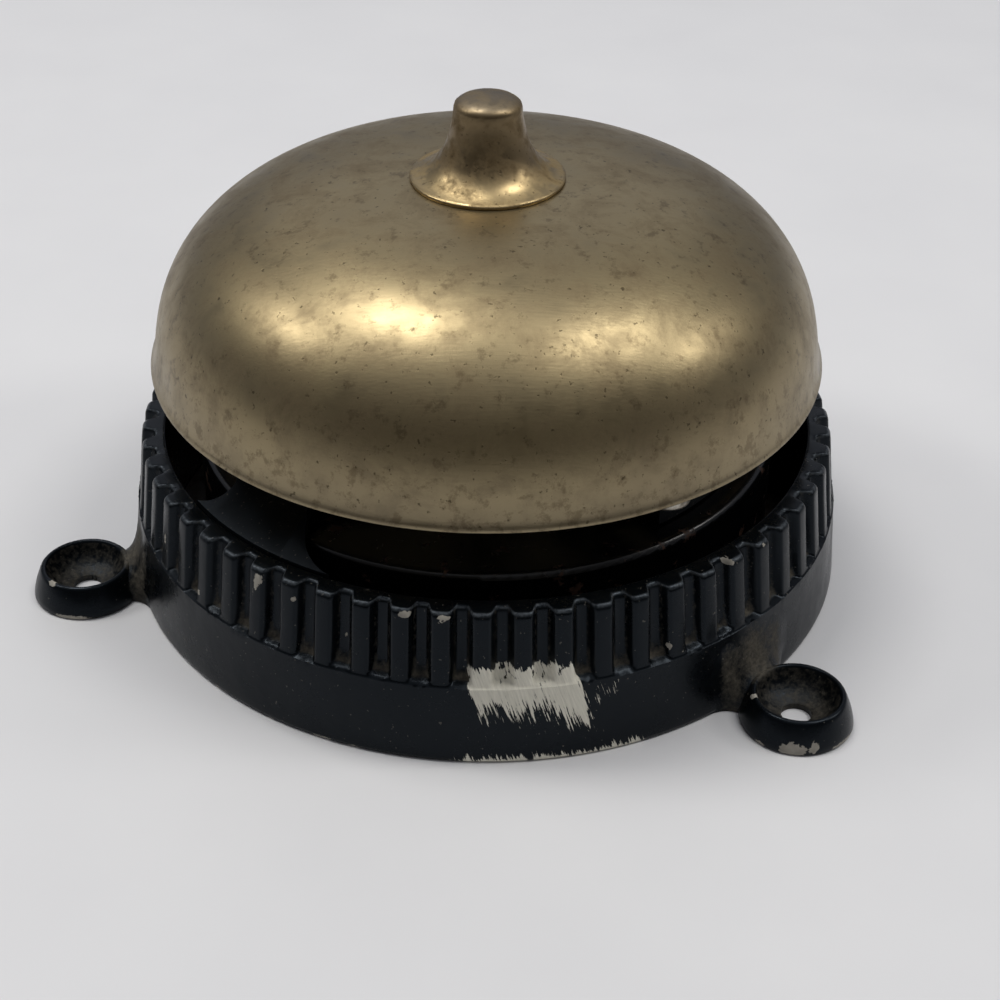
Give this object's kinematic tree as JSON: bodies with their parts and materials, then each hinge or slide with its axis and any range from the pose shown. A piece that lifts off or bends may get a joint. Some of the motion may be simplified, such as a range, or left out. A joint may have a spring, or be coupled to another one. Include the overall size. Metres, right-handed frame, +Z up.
{
  "type": "mechanical call bell",
  "caption": "Screw-down mechanical call bell: brass gong on a winding arbor with a knob, over a black fluted cast base with screw lugs; inside, a geared rotor throws loose strikers.",
  "frame": {"origin": "on the gong's axis, in the plane of the base's foot, which is the centre of the screw circle", "axes": "+Z up along the gong's axis, -Y towards the front, +X to the right"},
  "size_m": [0.1266, 0.1263, 0.0754],
  "materials": {
    "japan": "glossy black japan enamel, chipped at the edges",
    "frame_japan": "black japan, dusty",
    "gong_brass": "satin, aged and spotted",
    "knob_brass": "satin, aged",
    "case_steel": "dark, rusted on its wall",
    "plate_steel": "plain",
    "spring_steel": "blued",
    "arbor_steel": "turned",
    "screw_steel": "dull",
    "wheel_brass": "stamped, satin",
    "striker_steel": "worn bright",
    "washer_leather": "oiled"
  },
  "bodies": {
    "base": {"base_ring": "japan", "back_plate": "plate_steel", "back_plate_screws": "screw_steel", "spring_case": "case_steel", "spring_case_screws": "screw_steel", "mainspring": "spring_steel", "spring_anchor": "arbor_steel", "lower_bush": "wheel_brass", "movement_frame": "frame_japan", "frame_screws": "screw_steel", "frame_bush": "wheel_brass", "second_stud": "arbor_steel", "second_keeper": "screw_steel", "rotor_stud": "arbor_steel", "rotor_keeper": "screw_steel"},
    "gong_assembly": {"winding_arbor": "arbor_steel", "arbor_hub": "arbor_steel", "hub_pin": "arbor_steel", "great_wheel_collet": "wheel_brass", "great_wheel": "wheel_brass", "gong_seat": "plate_steel", "gong_washer": "washer_leather", "gong": "gong_brass", "winding_knob": "knob_brass"},
    "second_wheel_set": {"second_wheel": "wheel_brass", "second_pinion": "arbor_steel"},
    "rotor": {"rotor_pinion": "arbor_steel", "rotor_arm": "plate_steel", "striker_pins": "arbor_steel", "striker_washers": "screw_steel"},
    "striker_a": {"striker_a": "striker_steel"},
    "striker_b": {"striker_b": "striker_steel"}
  },
  "joints": [
    {"name": "gong_turn", "type": "hinge", "parent": "base", "child": "gong_assembly", "pos_m": [0, 0, 0], "axis": [0, 0, 1], "range_deg": [-300, 0], "stiffness_Nm_per_rad": 0.03},
    {"name": "second_wheel_spin", "type": "hinge", "parent": "base", "child": "second_wheel_set", "pos_m": [0.02589, -0.00767, 0], "axis": [0, 0, 1], "continuous": true},
    {"name": "rotor_spin", "type": "hinge", "parent": "base", "child": "rotor", "pos_m": [0.01491, -0.0213, 0], "axis": [0, 0, 1], "continuous": true},
    {"name": "striker_a_swing", "type": "hinge", "parent": "rotor", "child": "striker_a", "pos_m": [0.02094, -0.0299, 0], "axis": [0, 0, 1], "range_deg": [-75, 75]},
    {"name": "striker_b_swing", "type": "hinge", "parent": "rotor", "child": "striker_b", "pos_m": [0.00889, -0.0127, 0], "axis": [0, 0, 1], "range_deg": [-75, 75]}
  ],
  "couplings": [
    {"joint": "second_wheel_spin", "follows": "gong_turn", "ratio": -5},
    {"joint": "rotor_spin", "follows": "gong_turn", "ratio": 20}
  ]
}
